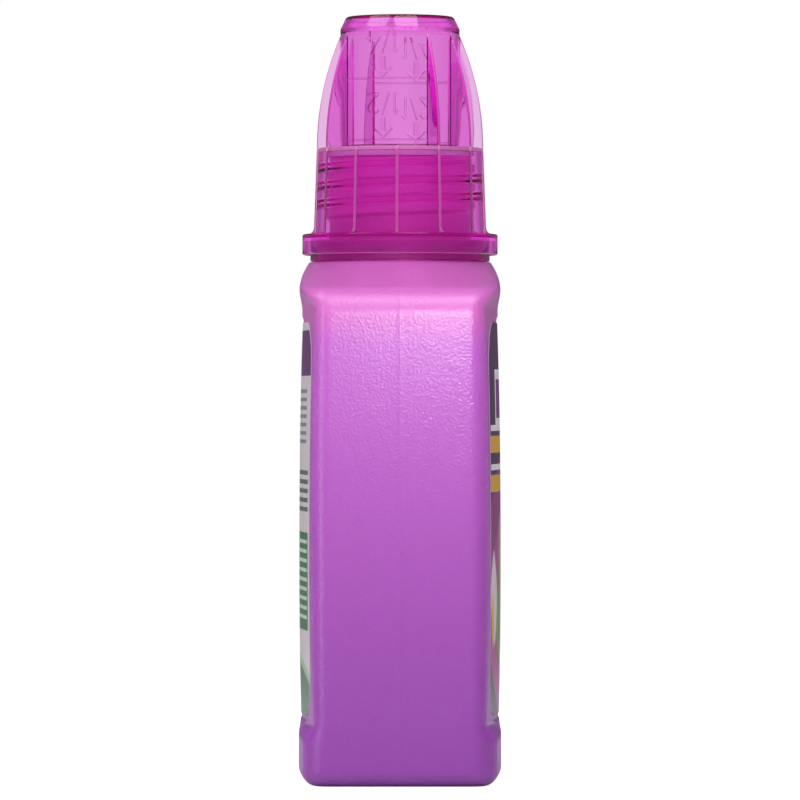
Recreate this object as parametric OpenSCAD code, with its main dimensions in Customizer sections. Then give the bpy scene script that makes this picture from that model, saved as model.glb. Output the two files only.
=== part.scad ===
// Liquid fertilizer bottle: a blow-moulded oblong bottle with a screw-on measuring cap.
// Millimetres, +Z up, origin at the bottom centre of the base.
// X runs along the wide side, Y from the front label (-Y) to the back label (+Y).

/* [Body] */
// Width of the body across its two narrow sides
body_w = 118; // [100:1:130]
// Height of the body, from the base to the foot of the neck collar
body_h = 160.5; // [150:0.5:190]
// Depth of the shoulder where it is fullest
shoulder_d = 62.6; // [61:0.1:70]
// Depth of the waist between the shoulder and the labels
waist_d = 60.9; // [56:0.1:62]
// Depth of the body at its belly, between the two label panels
belly_d = 63.3; // [60:0.1:70]
// Depth of the roll round the base
roll_d = 63.2; // [60:0.1:70]
// Width of the flat stretch of each narrow side
narrow_flat = 42.6; // [36:0.1:46]
// Wall thickness of the bottle
wall = 1.1; // [0.8:0.05:1.6]

/* [Shoulder] */
// From the collar down to the fullest part of the shoulder
shoulder_drop = 8.6; // [8:0.1:11]
// From the fullest part of the shoulder down to the waist
waist_drop = 6.8; // [5:0.1:9]
// Rounding between the narrow side and the shoulder
shoulder_r = 9; // [7:0.1:10]
// How much the wide face of the shoulder and the base is crowned
end_crown = 1.7; // [0.5:0.1:3]

/* [Base] */
// Height of the fullest part of the base roll
roll_h = 13.5; // [11:0.1:16]
// Rounding round the foot of the bottle
heel_r = 4.6; // [3.5:0.1:8]
// Width of the flat ring that the bottle stands on
foot_w = 5; // [3:0.1:8]
// Width of the slope from the standing ring up to the base's hollow
hollow_slope = 4; // [3:0.1:8]
// Depth of the hollow in the base
push_up = 2.2; // [1:0.1:4]

/* [Label panels] */
// Bare width either side of the recessed label panel
panel_side = 9; // [8:0.5:18]
// Height of the panel's lower edge above the base
panel_bottom = 18.8; // [17:0.1:26]
// From the waist down to the panel's upper edge
panel_drop = 2; // [1:0.1:8]
// Corner rounding of the panel
panel_r = 16; // [8:0.5:24]
// Depth of the step round the panel
panel_step = 0.5; // [0.4:0.05:0.9]
// How much the panel is crowned from its middle to its edge
panel_crown = 3.9; // [2:0.1:4.5]
// Height at which the panel's belly is deepest
belly_z = 65; // [50:1:90]
// Thickness of a label
label_t = 0.2; // [0.1:0.05:0.3]
// Bare margin between the panel's edge and the label
label_margin = 1.6; // [1:0.1:4]
// Gap between a label and the panel that it is stuck to
label_gap = 0.06; // [0.05:0.01:0.1]

/* [Contents] */
// Height of the liquid above the base
fill_h = 138.8; // [40:0.2:146]
// Gap between the liquid and the bottle's wall
liquid_gap = 0.25; // [0.2:0.05:0.4]

/* [Neck] */
// Height of the collar at the foot of the neck
collar_h = 6.7; // [5:0.1:8]
// Diameter of the neck under its thread
neck_d = 44; // [40:0.1:46]
// Wall thickness of the neck
neck_wall = 1.8; // [1.4:0.1:2.4]
// Height of the neck from the shoulder to its rim
neck_h = 32.7; // [28:0.1:40]

/* [Cap skirt] */
// Room between the neck and the skirt for the screw thread
thread_room = 2.2; // [1.8:0.1:3]
// Wall thickness of the skirt
skirt_wall = 1.3; // [1:0.1:1.8]
// How much wider in radius the skirt is at its foot than at its top
skirt_draft = 0.9; // [0.2:0.1:1.2]
// Height from the flange to the ledge
skirt_h = 26.9; // [24:0.1:29]
// Thickness of the ledge between the skirt and the cup
ledge_t = 1.4; // [1:0.1:2]
// How far the ribs stand out of the skirt
rib_h = 0.5; // [0.3:0.05:1]
// Thickness of the ribs and fins
rib_t = 1; // [0.7:0.05:1.5]
// Number of ribs round the skirt
rib_count = 12; // [8:2:16]
// Turn of the first rib from +X
rib_turn = 28; // [0:1:45]
// Height and reach of the foot that ties each rib to the flange
rib_foot = 2.2; // [1:0.1:2.6]

/* [Cap flange] */
// Height of the grip flange
flange_h = 6.5; // [5.5:0.1:8]
// Wall of the flange
flange_wall = 1.5; // [1.2:0.05:2]
// Width of the channel between the cuff and the flange, open below
channel_w = 1; // [0.8:0.1:2]
// Outer diameter of the cuff, which runs down inside the flange to the shoulder
cuff_d = 56; // [54:0.1:57]
// Wall of the cuff
cuff_wall = 1.3; // [1:0.05:1.8]
// Gap between the cuff and the neck collar inside it
cuff_gap = 0.35; // [0.25:0.05:0.6]
// Gap between the cuff and the shoulder under it
cuff_lift = 0.3; // [0.25:0.05:0.8]

/* [Measuring cup] */
// Outer diameter of the cup
cup_d = 37.2; // [32:0.1:40]
// Height of the cup above the ledge
cup_h = 41; // [36:0.5:50]
// Wall thickness of the cup
cup_wall = 1.2; // [0.9:0.05:1.6]
// Inward step of the sloped edge round the cup's closed end
crown_in = 1.6; // [0.8:0.1:2.5]
// Height of the sloped edge
crown_up = 3.5; // [2:0.1:5]
// Rounding where the sloped edge meets the end face
crown_r = 1; // [0.6:0.1:1.4]
// Radius of the bell curve along each fin's outer edge
fin_curve = 87; // [70:1:120]
// Fins on each flank of the cup, at neighbouring ribs
fins_each_side = 4; // [2:1:4]
// Depth of the quarter line below the closed end
quarter_depth = 19.9; // [12:0.1:22]
// Depth of the half line below the closed end
half_depth_line = 39; // [28:0.1:39.4]
// How far the measuring lines stand out of the cup
line_h = 0.3; // [0.2:0.05:0.5]
// Thickness of the measuring lines
line_t = 0.8; // [0.5:0.1:1.2]

/* [Sealing ring] */
// Thickness of the sealing ring between the neck's rim and the ledge
ring_t = 1.6; // [1:0.1:2.5]
// How far the ring stands out past the neck
ring_over = 1.1; // [0.5:0.1:1.4]

/* [Hidden] */
$fn = 96;

// Body levels
half_w = body_w / 2;
panel_w = body_w - 2 * panel_side;
shoulder_z = body_h - shoulder_drop;
waist_z = shoulder_z - waist_drop;
panel_top = waist_z - panel_drop;
roll_foot = panel_bottom - 0.6;
edge = 0.5;
cuff_r = cuff_d / 2;
cuff_in = cuff_r - cuff_wall;
cuff_foot = body_h + cuff_lift;
collar_r = cuff_in - cuff_gap;
crest_r = cuff_r + 0.3;
rim_z = body_h + neck_h;
least_corner = 1.5;

// Steps round a quarter of the body: wide face, corner and narrow side
FINE = [6, 5, 3];
COARSE = [4, 4, 1];

// Cap levels
neck_r = neck_d / 2;
ledge_z = rim_z + ring_t;
ledge_top = ledge_z + ledge_t;
cup_top = ledge_top + cup_h;
flange_top = ledge_top - skirt_h;
flange_bottom = flange_top - flange_h;
skirt_in = neck_r + thread_room;
skirt_out = skirt_in + skirt_wall;
flange_in = cuff_r + channel_w;
flange_r = flange_in + flange_wall;
flange_roof = flange_top - 1.4;
cup_r = cup_d / 2;
fin_r = skirt_out + rib_h;
joint_lap = 0.4;

// Smooth step from 0 to 1
function ease(t) = let (u = min(max(t, 0), 1)) u * u * (3 - 2 * u);
// A value that eases from v0 at height z0 to v1 at height z1
function eased(z, z0, v0, z1, v1) = v0 + (v1 - v0) * ease((z - z0) / (z1 - z0));
function mix(p, q, t) = p + (q - p) * t;

// Half the body's depth at its middle, at height z
function half_depth(z) =
    z < roll_h ? roll_d / 2 :
    z < roll_foot ? eased(z, roll_h, roll_d / 2, roll_foot, belly_half(roll_foot)) :
    z < waist_z ? belly_half(z) :
    eased(z, waist_z, waist_d / 2, shoulder_z, shoulder_d / 2);
function belly_half(z) =
    z < belly_z
    ? belly_d / 2 - 0.6 * pow((belly_z - z) / (belly_z - roll_foot), 2)
    : mix(belly_d / 2, waist_d / 2, pow((z - belly_z) / (waist_z - belly_z), 2.6));

// How far the wide face falls from its middle to the panel's edge, at height z
function crown(z) =
    z < belly_z
    ? eased(z, roll_h, end_crown, panel_bottom, panel_crown)
    : eased(z, waist_z, panel_crown, shoulder_z, end_crown);

// Depth of the panel's recess, and half the panel's width, at height z
function recess(z) = (z > panel_bottom + edge / 2 && z < panel_top - edge / 2) ? panel_step : 0;
function panel_half(z) =
    let (d = min(z - panel_bottom, panel_top - z))
    let (c = min(max(panel_r - d, 0), panel_r))
    panel_w / 2 - panel_r + sqrt(panel_r * panel_r - c * c);

// Height of the wide face over the middle plane at x, without the recess
function face_y(x, z) = half_depth(z) - crown(z) * pow(x / (panel_w / 2), 2);

// A quarter of the section at height z, drawn in by inset, from the +Y axis to the +X axis
function quarter(z, a, inset, steps, with_panel) =
    let (fall = crown(z) / pow(panel_w / 2, 2))
    let (b = half_depth(z) - inset)
    let (guess = max(b - crown(z) - narrow_flat / 2, least_corner))
    let (phi = 90 - atan(2 * fall * (a - guess)))
    let (x_end = a - guess + guess * cos(phi))
    let (y_end = b - fall * x_end * x_end)
    let (r = max((y_end - narrow_flat / 2) / sin(phi), least_corner))
    let (centre = [a - r, y_end - r * sin(phi)])
    let (x_start = a - r + r * cos(phi))
    let (x_panel = min(panel_half(z), x_start - 3 * edge))
    let (low = with_panel ? recess(z) : panel_step * ease((z - roll_h) / 5) * ease((shoulder_z - z) / 5))
    concat(
        [for (i = [0:steps[0]])
            let (x = (x_panel - edge) * i / steps[0])
            [x, b - fall * x * x - low]],
        with_panel ? [[x_panel + edge, b - fall * pow(x_panel + edge, 2)]] : [],
        [for (j = [0:steps[1]])
            let (t = phi * (1 - j / steps[1]))
            centre + r * [cos(t), sin(t)]],
        [for (j = [1:steps[2]]) [a, centre[1] * (1 - j / steps[2])]]
    );

// The whole section, clockwise seen from above
function whole(q) =
    let (m = len(q) - 1)
    concat(
        [for (i = [0:m - 1]) q[i]],
        [for (i = [m:-1:1]) [q[i][0], -q[i][1]]],
        [for (i = [0:m - 1]) [-q[i][0], -q[i][1]]],
        [for (i = [m:-1:1]) [-q[i][0], q[i][1]]]
    );
function raised(ring, z) = [for (p = ring) [p[0], p[1], z]];

// Half the width at height z: straight, then rounded into the shoulder
function half_width(z) =
    z < shoulder_z - shoulder_r
    ? half_w
    : half_w - shoulder_r + sqrt(pow(shoulder_r, 2) - pow(z - shoulder_z + shoulder_r, 2) * 0.88);

// A side section, and one on the slope of the shoulder at t from 0 (fullest) to 1 (collar)
function side(z, inset, steps, with_panel) =
    quarter(z, half_width(z) - inset, inset, steps, with_panel);
function slope(t, inset, steps, with_panel) =
    let (q = side(shoulder_z, inset, steps, with_panel))
    let (a = half_width(shoulder_z) - inset)
    let (b = shoulder_d / 2 - inset)
    [for (p = q)
        let (u = [p[0] / a, p[1] / b])
        let (c = (crest_r - inset) * u / norm(u))
        [mix(p[0], c[0], t), mix(p[1], c[1], t * t)]];

// Heights of the side sections: heel to roll, panel with its rounded corners, waist to shoulder
corner_steps = [0.08, 0.3, 0.62, 1];
function side_heights(fine) = fine
    ? concat(
        [heel_r + 0.01, mix(heel_r, roll_h, 0.6), roll_h],
        [for (t = [0.35, 0.7]) mix(roll_h, roll_foot, t)],
        [panel_bottom, panel_bottom + edge],
        [for (t = corner_steps) panel_bottom + edge + (panel_r - edge) * t],
        [for (t = [0.25, 0.5, 0.75]) mix(panel_bottom + panel_r, panel_top - panel_r, t)],
        [for (i = [3:-1:0]) panel_top - edge - (panel_r - edge) * corner_steps[i]],
        [panel_top - edge, panel_top, waist_z],
        [for (t = [0.25, 0.5, 0.75]) mix(waist_z, shoulder_z, t)]
    )
    : concat(
        [heel_r + 0.01, roll_h, mix(roll_h, roll_foot, 0.5), panel_bottom + 2],
        [for (t = [0.12, 0.3, 0.5, 0.7, 0.88]) mix(panel_bottom, panel_top, t)],
        [panel_top, waist_z, mix(waist_z, shoulder_z, 0.5)]
    );

// The outer skin, from the hollow under the base up to the collar
function outer_rings() = concat(
    [raised(whole(side(heel_r, heel_r + foot_w + hollow_slope, FINE, true)), push_up)],
    [raised(whole(side(heel_r, heel_r + foot_w, FINE, true)), 0)],
    [for (t = [0:15:75]) raised(whole(side(heel_r, heel_r * (1 - sin(t)), FINE, true)), heel_r * (1 - cos(t)))],
    [for (z = side_heights(true)) raised(whole(side(z, 0, FINE, true)), z)],
    [for (t = [0, 0.25, 0.5, 0.75, 1]) raised(whole(slope(t, 0, FINE, true)), mix(shoulder_z, body_h, t))]
);

// The same skin drawn in by a wall or a gap, which is where the liquid lies
function inner_rings(inset, top) =
    let (floor_z = push_up + inset)
    let (bend = heel_r - 0.5)
    concat(
        [raised(whole(side(heel_r, inset + bend, COARSE, false)), floor_z)],
        [for (t = [30, 60])
            raised(whole(side(heel_r, inset + bend * (1 - sin(t)), COARSE, false)), floor_z + bend * (1 - cos(t)))],
        [for (z = [for (s = side_heights(false)) if (s > floor_z + bend - 1 && s < top - 0.5) s])
            raised(whole(side(z, inset, COARSE, false)), z)]
    );
function inner_slope(inset) =
    [for (t = [0, 0.3, 0.65, 1])
        raised(whole(slope(t, inset, COARSE, false)), mix(shoulder_z, body_h, t) - inset)];

// A solid skinned over a stack of rings with the same number of points
module skin(rings) {
    n = len(rings[0]);
    last = len(rings) - 1;
    points = [for (ring = rings) each ring];
    sides = [for (k = [0:last - 1], i = [0:n - 1])
        let (a = k * n + i)
        let (b = k * n + (i + 1) % n)
        each [[a, b, b + n], [a, b + n, a + n]]];
    bottom = [[for (i = [n - 1:-1:0]) i]];
    top = [[for (i = [0:n - 1]) last * n + i]];
    polyhedron(points, concat(bottom, sides, top));
}

// Bottle: one blow-moulded piece with its collar and neck
module bottle() {
    color([0.78, 0.36, 0.82])
    difference() {
        union() {
            skin(outer_rings());
            neck_outside();
        }
        skin(concat(inner_rings(wall, shoulder_z), inner_slope(wall)));
        neck_inside();
    }
}

module neck_outside() {
    rim = 0.5;
    translate([0, 0, body_h - joint_lap])
        cylinder(r = collar_r, h = collar_h + joint_lap);
    rotate_extrude()
        polygon([
            [0, body_h], [neck_r, body_h], [neck_r, rim_z - rim],
            [neck_r - rim, rim_z], [0, rim_z]
        ]);
}

module neck_inside() {
    bore = neck_r - neck_wall;
    room = collar_r - wall - 0.4;
    roof = body_h + collar_h - wall;
    rotate_extrude()
        polygon([
            [0, body_h - wall - joint_lap], [room, body_h - wall - joint_lap],
            [room, roof - (room - bore) * 0.25], [bore, roof],
            [bore, rim_z + 1], [0, rim_z + 1]
        ]);
}

// Liquid: fills the body up to its level
module liquid() {
    inset = wall + liquid_gap;
    surface = [raised(whole(side(fill_h, inset, COARSE, false)), fill_h)];
    color([0.45, 0.08, 0.6])
    skin(concat(inner_rings(inset, fill_h), surface));
}

// Label: a thin film that follows the crowned panel
module label() {
    across = 12;
    up = 12;
    half = panel_w / 2 - label_margin / 2;
    low = panel_bottom + label_margin / 2;
    high = panel_top - label_margin / 2;
    base = label_gap - panel_step;
    row = across + 1;
    sheet = row * (up + 1);
    function at(i, k, lift) =
        let (x = mix(-half, half, i / across))
        let (z = mix(low, high, k / up))
        [x, face_y(x, z) + base + lift, z];
    points = concat(
        [for (k = [0:up], i = [0:across]) at(i, k, 0)],
        [for (k = [0:up], i = [0:across]) at(i, k, label_t)]
    );
    inner = [for (k = [0:up - 1], i = [0:across - 1])
        let (a = k * row + i)
        each [[a, a + row, a + row + 1], [a, a + row + 1, a + 1]]];
    outer = [for (k = [0:up - 1], i = [0:across - 1])
        let (a = sheet + k * row + i)
        each [[a, a + row + 1, a + row], [a, a + 1, a + row + 1]]];
    rim = concat(
        [for (i = [0:across]) i],
        [for (k = [1:up]) k * row + across],
        [for (i = [across - 1:-1:0]) up * row + i],
        [for (k = [up - 1:-1:1]) k * row]
    );
    n = len(rim);
    edges = [for (i = [0:n - 1])
        let (a = rim[i])
        let (b = rim[(i + 1) % n])
        each [[a, b, b + sheet], [a, b + sheet, a + sheet]]];
    intersection() {
        polyhedron(points, concat(inner, outer, edges));
        rotate([90, 0, 0])
        linear_extrude(height = 2 * body_w, center = true)
        label_outline();
    }
}

module label_outline() {
    w = panel_w - 2 * label_margin;
    h = panel_top - panel_bottom - 2 * label_margin;
    r = panel_r - label_margin;
    translate([0, (panel_top + panel_bottom) / 2])
    union() {
        square([w - 2 * r, h], center = true);
        square([w, h - 2 * r], center = true);
        for (sx = [-1, 1], sy = [-1, 1])
            translate([sx * (w / 2 - r), sy * (h / 2 - r)])
            circle(r = r);
    }
}

module back_label() {
    color([0.86, 0.86, 0.84])
    label();
}

module front_label() {
    color([0.36, 0.1, 0.42])
    rotate([0, 0, 180])
    label();
}

// Sealing ring: lies on the rim of the neck, under the cap's ledge
module sealing_ring() {
    bore = neck_r - neck_wall + 0.2;
    color([0.96, 0.9, 0.95])
    translate([0, 0, rim_z])
    difference() {
        cylinder(r = neck_r + ring_over, h = ring_t);
        translate([0, 0, -1])
            cylinder(r = bore, h = ring_t + 2);
    }
}

// Measuring cap: one clear moulding of cup, fins, ledge, ribbed skirt, flange and cuff
module measuring_cap() {
    color([0.85, 0.15, 0.68, 0.7])
    union() {
        cap_shell();
        for (i = [0:rib_count - 1])
            rotate([0, 0, rib_turn + i * 360 / rib_count])
            rib();
        for (i = [0:rib_count - 1])
            if (i % (rib_count / 2) < fins_each_side)
                rotate([0, 0, rib_turn + i * 360 / rib_count])
                fin();
        for (side_turn = [0, 180], depth = [quarter_depth, half_depth_line])
            measuring_line(side_turn, cup_top - depth);
    }
}

module cap_shell() {
    soft = 0.6;
    rotate_extrude()
    difference() {
        polygon(concat(
            [[0, cup_top]],
            crown_arc(cup_r, cup_top),
            [[cup_r, cup_top - crown_up - crown_r * 0.4], [cup_r, ledge_top + soft], [cup_r + soft, ledge_top]],
            [[skirt_out - soft, ledge_top], [skirt_out, ledge_top - soft]],
            [[skirt_out + skirt_draft, flange_top]],
            [[flange_r - soft, flange_top], [flange_r, flange_top - soft]],
            [[flange_r, flange_bottom + soft], [flange_r - soft, flange_bottom]],
            [[flange_in, flange_bottom], [flange_in, flange_roof], [cuff_r, flange_roof]],
            [[cuff_r, cuff_foot], [0, cuff_foot]]
        ));
        polygon(concat(
            [[0, cup_top - cup_wall]],
            crown_arc(cup_r - cup_wall, cup_top - cup_wall),
            [[cup_r - cup_wall, cup_top - cup_wall - crown_up - crown_r * 0.4], [cup_r - cup_wall, ledge_z]],
            [[skirt_in, ledge_z], [skirt_in + skirt_draft, flange_roof]],
            [[cuff_in, flange_roof], [cuff_in, cuff_foot - 1], [0, cuff_foot - 1]]
        ));
    }
}

// The rounded corner at the top of the sloped edge, for a given radius and end height
function crown_arc(r, z) =
    let (lean = atan(crown_in / crown_up))
    let (hub = [r - crown_in - crown_r * cos(lean), z - crown_r])
    [for (t = [90:-(90 - lean) / 6:lean - 0.01]) hub + crown_r * [cos(t), sin(t)]];

// A rib down the skirt, with the foot that ties it to the flange
module rib() {
    deep = skirt_wall / 2;
    foot_r = skirt_out + skirt_draft;
    upright(rib_t)
    polygon([
        [foot_r - deep, flange_top - joint_lap],
        [foot_r + rib_h + rib_foot, flange_top - joint_lap],
        [foot_r + rib_h + rib_foot, flange_top],
        [foot_r + rib_h, flange_top + rib_foot],
        [fin_r, ledge_top - 0.6],
        [fin_r - rib_h, ledge_top - 0.1],
        [skirt_out - deep, ledge_top - 0.1]
    ]);
}

// A radial fin that stands on the ledge and runs up the cup
module fin() {
    upright(rib_t)
    intersection() {
        translate([cup_r - cup_wall / 2, ledge_top - 0.7])
            square([fin_r - cup_r + cup_wall / 2, cup_h]);
        translate([fin_r - fin_curve, ledge_top])
            circle(r = fin_curve, $fn = 360);
    }
}

// Stands a flat outline of radius and height up on the cap's axis, t thick
module upright(t) {
    rotate([90, 0, 0])
    linear_extrude(height = t, center = true)
    children();
}

// A raised line across one bare side of the cup, between its outermost fins
module measuring_line(side_turn, z) {
    span = 360 / rib_count * (rib_count / 2 - fins_each_side + 1);
    rotate([0, 0, rib_turn + side_turn - span])
    rotate_extrude(angle = span)
    translate([cup_r - joint_lap, z - line_t / 2])
        square([line_h + joint_lap, line_t]);
}

bottle();
liquid();
front_label();
back_label();
sealing_ring();
measuring_cap();
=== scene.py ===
# %% [markdown]
# # A liquid fertilizer bottle
#
# The bottle is one blow-moulded piece of tinted polyethylene. Its cap is a clear, deeply tinted
# moulding that doubles as the measure: a cup with fins, a ledge, a ribbed skirt with the screw
# thread inside, a grip flange, and the cuff below it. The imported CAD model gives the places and
# sizes here, in metres. This script dresses it: smoother skins, the screw thread, the raised
# marks, the labels' print, and the materials and light.

# %% Load the frame
import math

import bmesh
import bpy
import numpy as np
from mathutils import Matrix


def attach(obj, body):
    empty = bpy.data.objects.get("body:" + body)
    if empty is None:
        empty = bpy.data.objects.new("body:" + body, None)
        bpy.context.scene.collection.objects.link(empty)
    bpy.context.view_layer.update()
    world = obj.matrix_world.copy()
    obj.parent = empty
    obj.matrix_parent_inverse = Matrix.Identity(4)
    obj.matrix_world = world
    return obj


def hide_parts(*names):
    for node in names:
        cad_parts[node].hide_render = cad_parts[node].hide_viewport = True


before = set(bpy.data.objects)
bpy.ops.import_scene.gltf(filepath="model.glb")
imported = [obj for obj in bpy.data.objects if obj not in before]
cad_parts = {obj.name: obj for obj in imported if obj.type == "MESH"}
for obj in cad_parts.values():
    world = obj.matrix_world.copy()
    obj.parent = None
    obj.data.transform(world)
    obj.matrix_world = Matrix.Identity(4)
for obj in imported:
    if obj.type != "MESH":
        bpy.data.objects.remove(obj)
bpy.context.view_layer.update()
MM = 0.001

# %% [markdown]
# ## The camera
#
# The photograph looks square at the narrow side of the bottle from about two metres, with the eye
# level at half the picture's height. A long lens at a real distance gives the same mild
# perspective. The frame is 800 pixels wide, and 0.3125 mm of the bottle falls on each pixel.

# %% Camera
FRAME_PX = 800
MM_PER_PX = 0.3125
EYE_PX = 400
BASE_PX = 776.2
CAMERA_AWAY = 2.0
SENSOR = 36

eye_height = (BASE_PX - EYE_PX) * MM_PER_PX * MM
seen_width = FRAME_PX * MM_PER_PX * MM
camera_data = bpy.data.cameras.new("camera")
camera_data.sensor_width = SENSOR
camera_data.lens = SENSOR * CAMERA_AWAY / seen_width
camera = bpy.data.objects.new("camera", camera_data)
camera.location = (-CAMERA_AWAY, 0, eye_height)
camera.rotation_euler = (math.radians(90), 0, math.radians(-90))
bpy.context.scene.collection.objects.link(camera)
bpy.context.scene.camera = camera
print("lens", round(camera_data.lens, 1), "mm at eye height", round(eye_height, 4))

# %% [markdown]
# ## Sizes
#
# These are the driving sizes of the real bottle, in millimetres. They repeat the ones that shaped
# the CAD solids, so each smooth skin lies exactly where its solid does.

# %% Sizes of the bottle
BODY_W, BODY_H = 118, 160.5
SHOULDER_D, WAIST_D, BELLY_D, ROLL_D = 62.6, 60.9, 63.3, 63.2
NARROW_FLAT, WALL = 42.6, 1.1
SHOULDER_DROP, WAIST_DROP, SHOULDER_R, END_CROWN = 8.6, 6.8, 9, 1.7
ROLL_H, HEEL_R, FOOT_W, HOLLOW_SLOPE, PUSH_UP = 13.5, 4.6, 5, 4, 2.2
PANEL_W, PANEL_BOTTOM, PANEL_DROP, PANEL_R = 100, 18.8, 2, 16
PANEL_STEP, PANEL_CROWN, BELLY_Z = 0.5, 3.9, 65
LABEL_T, LABEL_MARGIN, LABEL_GAP = 0.2, 1.6, 0.06
COLLAR_H, NECK_D, NECK_WALL, NECK_H = 6.7, 44, 1.8, 32.7
CUFF_D, CUFF_WALL, CUFF_GAP, CUFF_LIFT = 56, 1.3, 0.35, 0.3
ROLL_CLEAR, CREST_OVER, LEAST_R = 0.6, 0.3, 1.5
BELLY_FOOT_IN, BELLY_POWER, SHOULDER_SHARE = 0.6, 2.6, 0.88

SHOULDER_Z = BODY_H - SHOULDER_DROP
WAIST_Z = SHOULDER_Z - WAIST_DROP
PANEL_TOP = WAIST_Z - PANEL_DROP
ROLL_FOOT = PANEL_BOTTOM - ROLL_CLEAR
CUFF_R = CUFF_D / 2
CUFF_IN = CUFF_R - CUFF_WALL
CUFF_FOOT = BODY_H + CUFF_LIFT
COLLAR_R = CUFF_IN - CUFF_GAP
CREST_R = CUFF_R + CREST_OVER
NECK_R = NECK_D / 2
RIM_Z = BODY_H + NECK_H

# %% Sizes of the cap
RING_T, RING_OVER = 1.6, 1.1
THREAD_ROOM, SKIRT_WALL, SKIRT_DRAFT, SKIRT_H, LEDGE_T = 2.2, 1.3, 0.9, 26.9, 1.4
RIB_H, RIB_T, RIB_COUNT, RIB_TURN, RIB_FOOT = 0.5, 1, 12, 28, 2.2
FLANGE_H, FLANGE_WALL, CHANNEL_W, ROOF_T = 6.5, 1.5, 1, 1.4
CUP_D, CUP_H, CUP_WALL = 37.2, 41, 1.2
CROWN_IN, CROWN_UP, CROWN_R = 1.6, 3.5, 1
FIN_CURVE, FINS_EACH_SIDE = 87, 4
QUARTER_DEPTH, HALF_DEPTH = 19.9, 39
LINE_H, LINE_T = 0.3, 0.8

LEDGE_Z = RIM_Z + RING_T
LEDGE_TOP = LEDGE_Z + LEDGE_T
CUP_TOP = LEDGE_TOP + CUP_H
CUP_R = CUP_D / 2
SKIRT_IN = NECK_R + THREAD_ROOM
SKIRT_OUT = SKIRT_IN + SKIRT_WALL
FLANGE_TOP = LEDGE_TOP - SKIRT_H
FLANGE_BOTTOM = FLANGE_TOP - FLANGE_H
FLANGE_IN = CUFF_R + CHANNEL_W
FLANGE_R = FLANGE_IN + FLANGE_WALL
FLANGE_ROOF = FLANGE_TOP - ROOF_T
FIN_R = SKIRT_OUT + RIB_H

# %% [markdown]
# ## The screw thread
#
# The neck and the cap carry the two halves of one right-hand thread. Each is a rounded ridge that
# climbs 5.6 mm in a turn, and the cap's low ridge runs in the gap of the neck's broad one. A thread
# can be swept as its own body, but here it is a swelling of the wall, which is how it is moulded.

# %% Thread
PITCH = 5.6
THREAD_START, THREAD_TURNS = 174.2, 3.1
CAP_SHORTER, FADE_TURNS, RIDGE_FLANK = 0.4, 0.12, 1.3
NECK_RIDGE, NECK_FLAT = 1.4, 2.2
CAP_RIDGE, CAP_FLAT = 0.5, 0.4


def ease(t):
    """Smooth step from 0 to 1."""
    u = np.clip(t, 0, 1)
    return u * u * (3 - 2 * u)


def ridge(angle, z, start, turns, flat):
    """How much of the ridge's height there is at an angle in radians and a height z."""
    climb = start + PITCH * angle / (2 * math.pi)
    turn = np.round((z - climb) / PITCH)
    off = np.abs(z - climb - turn * PITCH)
    along = turn + angle / (2 * math.pi)
    ends = ease(along / FADE_TURNS) * ease((turns - along) / FADE_TURNS)
    return (1 - ease((off - flat / 2) / RIDGE_FLANK)) * ends


print("the thread climbs", round(PITCH * THREAD_TURNS, 1), "mm")

# %% [markdown]
# ## Meshes from rings
#
# Most pieces here are stacks of rings: a list of closed sections with the same number of points,
# joined by quads. Lofting by hand keeps full control of where the points lie, which a subdivision
# surface would soften away.

# %% Mesh helpers
SHARP_ANGLE = math.radians(32)


def new_object(name, verts, faces):
    """A mesh object from points in millimetres, smooth except at its real edges."""
    mesh = bpy.data.meshes.new(name)
    mesh.from_pydata([tuple(v) for v in np.asarray(verts, float) * MM], [], faces)
    made = bpy.data.objects.new(name, mesh)
    bpy.context.scene.collection.objects.link(made)
    mark_edges(made)
    return made


def mark_edges(made):
    """Smooth shading everywhere, with the sharp edges left crisp."""
    shape = bmesh.new()
    shape.from_mesh(made.data)
    bmesh.ops.recalc_face_normals(shape, faces=shape.faces)
    for face in shape.faces:
        face.smooth = True
    for line in shape.edges:
        line.smooth = len(line.link_faces) == 2 and line.calc_face_angle(0) < SHARP_ANGLE
    shape.to_mesh(made.data)
    shape.free()


def loft(name, rings, closed_ends=True):
    """Skins a list of rings, each an array of points with the same count."""
    n = len(rings[0])
    verts = np.concatenate(rings)
    faces = []
    for k in range(len(rings) - 1):
        for i in range(n):
            a, b = k * n + i, k * n + (i + 1) % n
            faces.append((a, b, b + n, a + n))
    if closed_ends:
        faces.append(tuple(range(n - 1, -1, -1)))
        last = (len(rings) - 1) * n
        faces.append(tuple(range(last, last + n)))
    return new_object(name, verts, faces)


print("mesh helpers ready")

# %% [markdown]
# ## The section of the body
#
# At any height the body is a rounded oblong: two crowned wide faces, two flat narrow ones, and
# four corners tangent to both. The wide faces carry a recessed panel with rounded corners for the
# label. One quarter is worked out and then mirrored, so the bottle is true to its mould.

# %% Body section
ACROSS, STEP_COLUMNS, CORNER, NARROW = 18, 6, 14, 12
STEP_HALF, INNER_FADE = 0.9, 5
SEAM_H, SEAM_HALF = 0.04, 0.35


def eased(z, z0, v0, z1, v1):
    """A value that eases from v0 at height z0 to v1 at height z1."""
    return v0 + (v1 - v0) * float(ease((z - z0) / (z1 - z0)))


def belly_half(z):
    """Half the depth of the body between its label panels."""
    if z < BELLY_Z:
        return BELLY_D / 2 - BELLY_FOOT_IN * ((BELLY_Z - z) / (BELLY_Z - ROLL_FOOT)) ** 2
    rise = (z - BELLY_Z) / (WAIST_Z - BELLY_Z)
    return BELLY_D / 2 + (WAIST_D - BELLY_D) / 2 * rise**BELLY_POWER


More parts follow.
